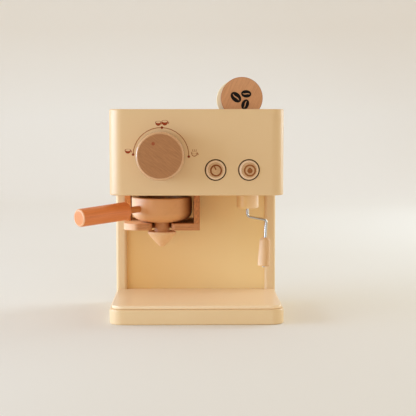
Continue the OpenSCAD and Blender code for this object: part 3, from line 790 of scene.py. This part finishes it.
# the rim has its own copy of the wood, painted paler than the face as a painted highlight on the rounded
# rim, and waxed so it shines more
refinish(knob, painted_lit_rim_wood, lambda c: (c - dial_axis).xz.length > knob_r - knob_rim_r
         and c.y < knob_high.y - knob_back_r / 2)


def print_paint(name, colour, worn):
    """Pad-printed ink: matt, a little thinner in places."""
    material, tree, place = new_material(name)
    # the pad leaves the ink thinner in spots
    spot = add(tree, "TexNoise", {"Vector": place, "Scale": 1 / ink_spot, "Detail": 2.0})
    thin_ink_and_painted_light = add(tree, "MapRange", {"Value": spot.outputs["Fac"], "From Min": 0.45, "From Max": 0.75,
                                  "To Max": 0.6})
    tone = add(tree, "Mix", {0: thin_ink_and_painted_light.outputs["Result"], 6: linear(colour), 7: linear(worn)},
               data_type="RGBA")
    skin = add(tree, "BsdfPrincipled", {"Base Color": tone.outputs[2], "Roughness": 0.6,
                                        "Specular IOR Level": 0.25})
    add(tree, "OutputMaterial", {"Surface": skin.outputs[0]})
    return material


def band(bm, centre, inner, outer, start=0, sweep=360, stretch=(1, 1)):
    """A flat ring or part of one, from a start angle in degrees; an inner radius of 0 gives a disc."""
    ends = [bm.verts.new((inner, 0, 0)), bm.verts.new((outer, 0, 0))]
    edge = bm.edges.new(ends)
    bmesh.ops.rotate(bm, verts=ends, matrix=Matrix.Rotation(math.radians(start), 3, "Z"))
    before = set(bm.verts) - set(ends)
    bmesh.ops.spin(bm, geom=ends + [edge], cent=(0, 0, 0), axis=(0, 0, 1), angle=math.radians(sweep),
                   steps=max(6, round(abs(sweep) / 10)), use_merge=abs(sweep) == 360)
    made = [v for v in bm.verts if v not in before]
    bmesh.ops.scale(bm, vec=(*stretch, 1), verts=made)
    bmesh.ops.translate(bm, vec=(*centre, 0), verts=made)
    bmesh.ops.remove_doubles(bm, verts=made, dist=0.1 * hair)


def bar(bm, first, second, width):
    """A flat straight stroke between two points."""
    along = (Vector(second) - Vector(first)).normalized()
    out = Vector((-along.y, along.x)) * width / 2
    bm.faces.new([bm.verts.new((*(Vector(p) + s * out), 0))
                  for p, s in ((first, -1), (second, -1), (second, 1), (first, 1))])


def stamp(bm, name, paint, place, *hung):
    """Gives flat shapes the thickness of a coat of ink and lays them on a face that looks forward.

    hung names the body and slot where they aren't the painted cabinet's.
    """
    face_out(bm)
    raised(bm, 2 * ink_thick)
    bm.transform(Matrix.Translation(place) @ facing @ Matrix.Translation((0, 0, -ink_thick)))
    finish(bm, name, paint, (), *hung)


red_paint = print_paint("red_dot_paint", "#A3502F", "#B0663F")
bm = bmesh.new()
band(bm, (dot_out * math.cos(dot_angle), dot_out * math.sin(dot_angle)), 0, dot_r)
stamp(bm, "dial_pointer_dot", red_paint, knob_face, "dial", "knob_wood")


# ---- dial print ----
# Brown ink on the front board: a thin arc round the dial with a dot at each end and a lozenge on
# top, one cup at the left, two at the top, and a steaming cup at the right.

arc_r = 28.5 * MM
line_w = 0.75 * MM
pen_w = 0.65 * MM
# in degrees: where the arc starts, how far it goes, and where its top mark stands
arc_start, arc_sweep, top_angle = -2.3, 180.3, 87.9
end_dot_r = 1.35 * MM
lozenge_half = 1.75 * MM
print_shift = Vector((0.45, 0, -0.2)) * MM
# each cup in millimetres from the dial's axis: the middle of its rim, and how wide and deep it is
full_cups = (((-33.8, 5.5), 6.4, 3.5), ((-2.7, 34.0), 6.1, 3.7), ((4.0, 34.8), 6.6, 4.2))
steaming_cup = ((34.2, 2.8), 6.5, 3.9)
steam_places = (32.2, 34.1, 36.0)
steam_low, steam_high, steam_slant = 4.5 * MM, 6.2 * MM, 0.3 * MM

brown_ink = print_paint("red_brown_pad_ink", "#9C3810", "#B45A2A")
line_ink = print_paint("fine_line_ink", "#A65824", "#B87038")


def on_arc(degrees):
    """A point on the dial's arc."""
    angle = math.radians(degrees)
    return Vector((arc_r * math.cos(angle), arc_r * math.sin(angle)))


def cup(bm, rim, wide, deep, filled):
    """A cup from a little above: an oval rim on a round bowl, full or in outline, and a handle."""
    rim, half, deep = Vector(rim) * MM, wide * MM / 2, deep * MM
    x, y = rim
    oval = 0.4
    band(bm, rim, half - pen_w, half, stretch=(1, oval))
    handle_r = 0.32 * half
    band(bm, (x + half, y - 0.44 * half), handle_r - pen_w, handle_r, -100, 190)
    if not filled:
        band(bm, rim, half - pen_w, half, 180, 180, (1, deep / half))
        return
    turns = [math.radians(180 + 10 * i) for i in range(19)]
    bowl = [(x + half * math.cos(a), y + deep * math.sin(a)) for a in turns]
    coffee = [(x + (half - 0.1 * MM) * math.cos(a), y + oval * half * math.sin(a))
              for a in reversed(turns)]
    bm.faces.new([bm.verts.new((*point, 0)) for point in bowl + coffee])


print_place = Vector((dial_axis.x, front_y, dial_axis.z)) + print_shift
bm = bmesh.new()
band(bm, (0, 0), arc_r - line_w / 2, arc_r + line_w / 2, arc_start, arc_sweep)
stamp(bm, "dial_arc_print", line_ink, print_place)

bm = bmesh.new()
for angle in (arc_start, arc_start + arc_sweep):
    band(bm, on_arc(angle), 0, end_dot_r)
slant = Vector((lozenge_half, lozenge_half)) / 2
bar(bm, on_arc(top_angle) - slant, on_arc(top_angle) + slant, 2 * slant.length)
stamp(bm, "dial_mark_print", brown_ink, print_place)

bm = bmesh.new()
for full_cup in full_cups:
    cup(bm, *full_cup, filled=True)
stamp(bm, "dial_cup_print", brown_ink, print_place)

bm = bmesh.new()
cup(bm, *steaming_cup, filled=False)
for x in steam_places:
    bar(bm, (x * MM, steam_low), (x * MM + steam_slant, steam_high), 0.8 * pen_w)
stamp(bm, "dial_steam_print", line_ink, print_place)


# ---- buttons ----
# Two beech caps turned in one piece with their flanges and guide rods. A ring is burnt into each
# face, with a tick for power and a drop for water. Steel springs push them out.

cap_r = 10 * MM
face_r = 8 * MM
cap_bevel = 1.6 * MM
face_edge_r, cap_edge_r = 0.5 * MM, 0.7 * MM
flange_r = 13 * MM
flange_thick = 3 * MM
flange_gap = 0.4 * MM
flange_edge_r = 0.3 * MM
guide_r = 3 * MM
guide_edge_r = 0.6 * MM
button_low, button_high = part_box("power_button")
flange_at = front_back_y + flange_gap - button_low.y
button_long = button_high.y - button_low.y
mark_in_r, mark_out_r = 4.6 * MM, 6.2 * MM
power_shift = Vector((0.4, -0.4)) * MM
drop_shift = Vector((0.9, -0.4)) * MM
tick_from, tick_to = Vector((-1.7, 4.2)) * MM, Vector((-0.1, 0.75)) * MM
tick_wide = 1.3 * MM
belly_r = 2.7 * MM
belly_place = Vector((0, -0.35)) * MM
peak = Vector((0, 3.6)) * MM

button_log = dict(along=(0.9, 0.1, -0.35), ring_side=(0.2, 0.8, 0.9), pith=30)
button_wood = wood("beech_button", "#DDB282", "#BC8A58", **button_log)
painted_lit_bevel_wood = wood("painted_lit_beech_bevel", "#F4D4B0", "#E6BE94", **button_log, fleck=0.2, roughness=0.4)
scorch = print_paint("laser_scorch", "#86410F", "#AC6A36")
light_scorch = print_paint("light_laser_scorch", "#93501E", "#B57843")

for axis, body, node in ((power_axis, "power_push", "power_button"),
                         (drop_axis, "drop_push", "drop_button")):
    bm = turned([(0, 0, 0), (face_r, 0, face_edge_r), (cap_r, cap_bevel, cap_edge_r),
                 (cap_r, flange_at, 0), (flange_r, flange_at, flange_edge_r),
                 (flange_r, flange_at + flange_thick, flange_edge_r),
                 (guide_r, flange_at + flange_thick, 0), (guide_r, button_long, guide_edge_r),
                 (0, button_long, 0)],
                Matrix.Translation(front_of(node)) @ to_back)
    cap = finish(bm, node + "_cap", button_wood, [node], body, "beech")
    # the bevel has its own copy of the wood, painted paler: a painted highlight where the rounded bevel
    # catches the light
    refinish(cap, painted_lit_bevel_wood,
             lambda c: (c - axis).xz.length > face_r and c.y < button_low.y + cap_bevel)

bm = bmesh.new()
band(bm, power_shift, mark_in_r, mark_out_r)
bar(bm, power_shift + tick_from, power_shift + tick_to, tick_wide)
stamp(bm, "power_button_mark", scorch, front_of("power_button"), "power_push", "beech")

# a drop is a round belly with a point that leaves it at a tangent
bm = bmesh.new()
band(bm, drop_shift, mark_in_r, mark_out_r)
belly = drop_shift + belly_place
band(bm, belly, 0, belly_r)
half_turn = math.acos(belly_r / peak.y)
shoulder = Vector((belly_r * math.sin(half_turn), belly_r * math.cos(half_turn)))
bm.faces.new([bm.verts.new((*(belly + point), 0))
              for point in (Vector((-shoulder.x, shoulder.y)), shoulder, peak)])
stamp(bm, "drop_button_mark", light_scorch, front_of("drop_button"), "drop_push", "beech")

# drawn and coiled cold, so it stays bright
draw_mark = 0.6 * MM
spring_steel = steel("bright_spring_steel", "#BDBDBE", [draw_mark] * 3, 2.0, smooth=0.18, rough=0.34)
# each spring gets the bright steel and a mesh of its own
for name, joint, axis in (("power_spring", "power_press", power_axis),
                          ("drop_spring", "drop_press", drop_axis)):
    nodes[name].data.materials[0] = spring_steel
    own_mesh(nodes[name])


# ---- filter holder ----
# A bowl turned from beech, with a neck dowel through its floor, a cone-shaped spout glued on
# below, and a handle: a stained grip on a dowel driven into the bowl's wall.

bowl_low, bowl_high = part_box("filter_bowl")
bowl_r = (bowl_high.x - bowl_low.x) / 2
bowl_wall = 7.5 * MM
bowl_floor = 8.7 * MM
bowl_turn = (17 * MM, 11 * MM)
lip_r = 1.4 * MM
inner_fillet = 6 * MM
neck_r = 8.2 * MM


def bow(centre, reach, start, sweep, count):
    """Points of a profile on part of an ellipse, with no rounding of their own."""
    steps = [math.radians(start + sweep * i / count) for i in range(count + 1)]
    return [(centre[0] + reach[0] * math.cos(a), centre[1] + reach[1] * math.sin(a), 0) for a in steps]


# the bowl is painted paler on its left and darker on its right: a painted highlight where the left light
# falls, and painted shade beside the right cheek
bowl_wood = wood("turned_beech_bowl", "#F2B173", "#CA864A", along=(0.2, 1, 0.1), ring_side=(1, 0, 0.5),
                 pith=50, fleck=0.25, roughness=0.4, lathe=(0, 0, 1),
                 painted_light_belts=[("#FFD7AA", brew_axis.x - 29 * MM, brew_axis.x - 15 * MM),
                        ("#8C4614", brew_axis.x + 33 * MM, brew_axis.x + 19 * MM)])
inner_r = bowl_r - bowl_wall
brew_place = Matrix.Translation((brew_axis.x, brew_axis.y, 0))
bm = turned([(neck_r, bowl_low.z, 0)]
            + bow((bowl_r - bowl_turn[0], bowl_low.z + bowl_turn[1]), bowl_turn, -90, 90, 12)
            + [(bowl_r, bowl_high.z, lip_r), (inner_r, bowl_high.z, lip_r),
               (inner_r, bowl_low.z + bowl_floor, inner_fillet), (neck_r, bowl_low.z + bowl_floor, 0),
               (neck_r, bowl_low.z, 0)], brew_place, 128)
finish(bm, "filter_bowl_turning", bowl_wood, ["filter_bowl"], "filter_holder", "bowl_wood")
nodes["neck_dowel"].data.materials[0] = bowl_wood

# the spout: a narrow rim and a full taper to a blunt tip
spout_low, spout_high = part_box("spout")
spout_r = (spout_high.x - spout_low.x) / 2
spout_rim = 2.6 * MM
spout_rim_edge_r = (0.6 * MM, 0.8 * MM)
spout_tip_r = 2.4 * MM
spout_tip_edge_r = 0.9 * MM
spout_bulge = 0.4 * MM
neck_seat = 8 * MM
socket_floor = spout_high.z - neck_seat
spout_wood = wood("turned_pale_beech", "#FBCE98", "#DFA36B", along=(0.3, 1, 0.2), ring_side=(1, 0, -0.4),
                  pith=36, fleck=0.3, lathe=(0, 0, 1))
taper = []
for t in (step / 10 for step in range(1, 10)):
    taper.append((spout_tip_r + (spout_r - spout_tip_r) * t + 4 * spout_bulge * t * (1 - t),
                  spout_low.z + (spout_high.z - spout_low.z - spout_rim) * t, 0))
bm = turned([(0, spout_low.z, 0), (spout_tip_r, spout_low.z, spout_tip_edge_r)] + taper
            + [(spout_r, spout_high.z - spout_rim, spout_rim_edge_r[0]),
               (spout_r, spout_high.z, spout_rim_edge_r[1]), (neck_r, spout_high.z, 0),
               (neck_r, socket_floor, 0), (0, socket_floor, 0)], brew_place)
finish(bm, "spout_cone", spout_wood, ["spout"], "spout_stem", "spout_wood")

# the handle points to the front left and droops a little
handle_turn = math.radians(222.5)
droop = math.radians(3.4)
rod_z = 119.5 * MM
rod_r = 3.5 * MM
grip_start = 48.8 * MM
grip_long = 63.4 * MM
grip_r = (9.6 * MM, 9.25 * MM)
grip_end_r = (3.4 * MM, 2.2 * MM)
rod_tenon = 22 * MM
handle_frame = (Matrix.Translation((brew_axis.x, brew_axis.y, rod_z))
                @ Matrix.Rotation(handle_turn, 4, "Z") @ Matrix.Rotation(math.pi / 2 + droop, 4, "Y"))
handle_line = handle_frame.to_3x3() @ Vector((0, 0, 1))
grip_log = dict(along=handle_line, ring_side=(0, 0, 1), pith=34)
grip_wood = wood("stained_beech_grip", "#EF8A44", "#D77434", **grip_log, fleck=0.25, roughness=0.46,
                 wax=0.4)
bm = turned([(0, rod_tenon, 0), (rod_r, rod_tenon, 0), (rod_r, 0, 0), (grip_r[0], 0, grip_end_r[0]),
             (grip_r[1], grip_long, grip_end_r[1]), (0, grip_long, 0)],
            handle_frame @ Matrix.Translation((0, 0, grip_start)), 80)
grip = finish(bm, "handle_grip_turning", grip_wood, ["handle_grip"], "filter_holder", "grip_wood")
# end grain drinks more stain, and the rounded outer end is painted paler round its edge: a painted
# highlight
end_grain = wood("stained_end_grain", "#EB9858", "#D88446", **grip_log, fleck=0.1, rings=0.12)
painted_highlight_edge_wood = wood("painted_highlight_grip_edge", "#F6BD8D", "#E79F68", **grip_log, fleck=0.15, roughness=0.36)
to_handle = handle_frame.inverted()
end_from = grip_start + grip_long - 0.6 * grip_end_r[1]
flat_r = grip_r[1] - grip_end_r[1]
refinish(grip, end_grain,
         lambda c: (to_handle @ c).z > end_from and (to_handle @ c).xy.length < flat_r)
refinish(grip, painted_highlight_edge_wood,
         lambda c: (to_handle @ c).z > end_from and (to_handle @ c).xy.length >= flat_r)
nodes["handle_dowel"].data.materials[0] = wood("beech_rod", "#D98A44", "#AE6228", along=handle_line,
                                               ring_side=(0, 0, 1), pith=20)


# ---- steam wand ----
# Bright steel wire bent cold into a crank, with a turned beech tip pressed on. The wire's end
# shows as a small bright dot under the tip.

bend_r = 3.2 * MM
crank_z = 107.5 * MM
crank_run = 20.3 * MM
crank_slope = math.radians(11)
leg_lean = math.radians(3.2)
tip_from_corner = 18.7 * MM
tip_long = 31.2 * MM
tip_r = (5.8 * MM, 6.6 * MM)
tip_edge_r = (4.2 * MM, 1.8 * MM)
wire_end = 1.2 * MM
wire_sides = 24
bend_steps = 14
die_line_wide, die_line_long = 0.4 * MM, 16.667 * MM
wire_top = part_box("wand_wire")[1].z
wand_x, wand_y = collar_axis.x, collar_axis.y

upper_turn = math.pi / 2 - crank_slope
lower_turn = upper_turn + leg_lean
upper_cut = bend_r * math.tan(upper_turn / 2)
lower_cut = bend_r * math.tan(lower_turn / 2)
crank_line = Vector((math.cos(crank_slope), 0, -math.sin(crank_slope)))
crank_normal = Vector((-math.sin(crank_slope), 0, -math.cos(crank_slope)))
crank_long = crank_run / math.cos(crank_slope)
crank_corner = Vector((wand_x, wand_y, crank_z)) + crank_line * crank_long
leg_line = Vector((-math.sin(leg_lean), 0, -math.cos(leg_lean)))
upper_centre = Vector((wand_x + bend_r, wand_y, crank_z + upper_cut))
lower_centre = crank_corner - lower_cut * crank_line + bend_r * crank_normal

# the die leaves long fine lines along the wire
wand_steel = steel("bright_drawn_wire", "#D2D1CE", (die_line_wide, die_line_wide, die_line_long), 2.0,
                   smooth=0.08, rough=0.22)

bm = bmesh.new()
section = ring_of(bm, Matrix.Translation((wand_x, wand_y, wire_top)), wire_r, wire_sides)
bmesh.ops.edgenet_fill(bm, edges=section)


def bent(bm, edges, centre, axis, angle):
    """Bends a ring of wire round a centre, and gives the new ring."""
    verts = list({v for e in edges for v in e.verts})
    last = bmesh.ops.spin(bm, geom=edges + verts, cent=centre, axis=axis, angle=angle,
                          steps=bend_steps)["geom_last"]
    return [e for e in last if isinstance(e, bmesh.types.BMEdge)]


section = drawn_on(bm, section, Vector((0, 0, crank_z + upper_cut - wire_top)))
section = bent(bm, section, upper_centre, (0, -1, 0), upper_turn)
section = drawn_on(bm, section, crank_line * (crank_long - upper_cut - lower_cut))
section = bent(bm, section, lower_centre, (0, 1, 0), lower_turn)
section = drawn_on(bm, section, leg_line * (tip_from_corner + tip_long + wire_end - lower_cut))
bmesh.ops.edgenet_fill(bm, edges=section)
finish(bm, "wand_bent_wire", wand_steel, ["wand_wire"], "steam_wand", "steel_wire")

leg_frame = (Matrix.Translation(crank_corner) @ Matrix.Rotation(leg_lean, 4, "Y")
             @ Matrix.Rotation(math.pi, 4, "Y"))
tip_middle = leg_frame @ Vector((0, 0, tip_from_corner + tip_long / 2))
# the tip is painted paler on its left half: a painted highlight from the left light
tip_wood = wood("turned_beech_tip", "#F1C592", "#D4A066", along=(0.05, 0, 1), ring_side=(1, 0.5, 0),
                pith=24, fleck=0.25, lathe=(0, 0, 1),
                painted_light_belts=[("#FFDDB2", tip_middle.x - 6 * MM, tip_middle.x + 0.5 * MM)])
bm = turned([(wire_r, 0, 0), (tip_r[0], 0, tip_edge_r[0]), (tip_r[1], tip_long, tip_edge_r[1]),
             (wire_r, tip_long, 0), (wire_r, 0, 0)],
            leg_frame @ Matrix.Translation((0, 0, tip_from_corner)), 64)
finish(bm, "wand_tip_turning", tip_wood, ["wand_tip"], "steam_wand", "beech")


# ---- coins ----
# Two discs stand in the slot: a natural beech one, cut by laser and so toasted at its rim, with
# three coffee beans printed on it, and behind it a smaller one lacquered in cream.

coin_log = dict(along=(0.45, 0.05, 0.9), ring_side=(0.8, 0.5, -0.4), pith=38)
coin_wood = wood("beech_coin", "#DEA473", "#C18757", **coin_log, rings=0.07)
toasted_wood = wood("toasted_beech_rim", "#C38252", "#A5663B", **coin_log, rings=0.12)
coin_cream = lacquer("coin_cream_lacquer", "#FFF6D6", "#FFEEC4")
coin_edge_r = 0.6 * MM
for node, body, skin, slot in (("coin_front", "front_coin", coin_wood, "beech"),
                               ("coin_rear", "rear_coin", coin_cream, "collar_paint")):
    low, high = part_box(node)
    coin_r = (high.x - low.x) / 2
    face = front_of(node)
    bm = turned([(0, 0, 0), (coin_r, 0, coin_edge_r), (coin_r, high.y - low.y, coin_edge_r),
                 (0, high.y - low.y, 0)], Matrix.Translation(face) @ to_back, 128)
    disc = finish(bm, node + "_disc", skin, [node], body, slot)
    if skin == coin_wood:
        refinish(disc, toasted_wood, lambda c: (c - face).xz.length > coin_r - coin_edge_r)

# each bean in millimetres from the coin's middle: its place, length and width, and its lean in degrees
beans = (((-6.5, 0.8), 13.6, 9.6, -45), ((4.8, 4.5), 11.3, 8.2, -5), ((3.7, -7.1), 11.6, 8.2, 67))
bean_ink = print_paint("dark_bean_ink", "#0C0A09", "#171412")


def bean(bm, centre, long, wide, lean):
    """A coffee bean: an oval with a narrow winding cleft that stops short of its ends."""
    long, wide = long * MM / 2, wide * MM / 2
    cleft, cleft_reach = 0.13 * wide, 0.72
    laid = Matrix.Translation((*(Vector(centre) * MM), 0)) @ Matrix.Rotation(math.radians(lean), 4, "Z")
    for side in (-1, 1):
        outline = [(long * math.cos(a), side * wide * math.sin(a))
                   for a in (math.pi * i / 20 for i in range(21))]
        for x in (-0.95 + 0.05 * i for i in range(39)):
            opening = max(0, 1 - (x / cleft_reach) ** 4)
            wave = 0.09 * wide * math.sin(1.4 * math.pi * x)
            outline.append((x * long, opening * (side * cleft + wave)))
        bm.faces.new([bm.verts.new(laid @ Vector((x, y, 0))) for x, y in outline])


bm = bmesh.new()
for measures in beans:
    bean(bm, *measures)
stamp(bm, "coin_bean_print", bean_ink, front_of("coin_front"), "front_coin", "beech")


# ---- update ----
bpy.context.view_layer.update()
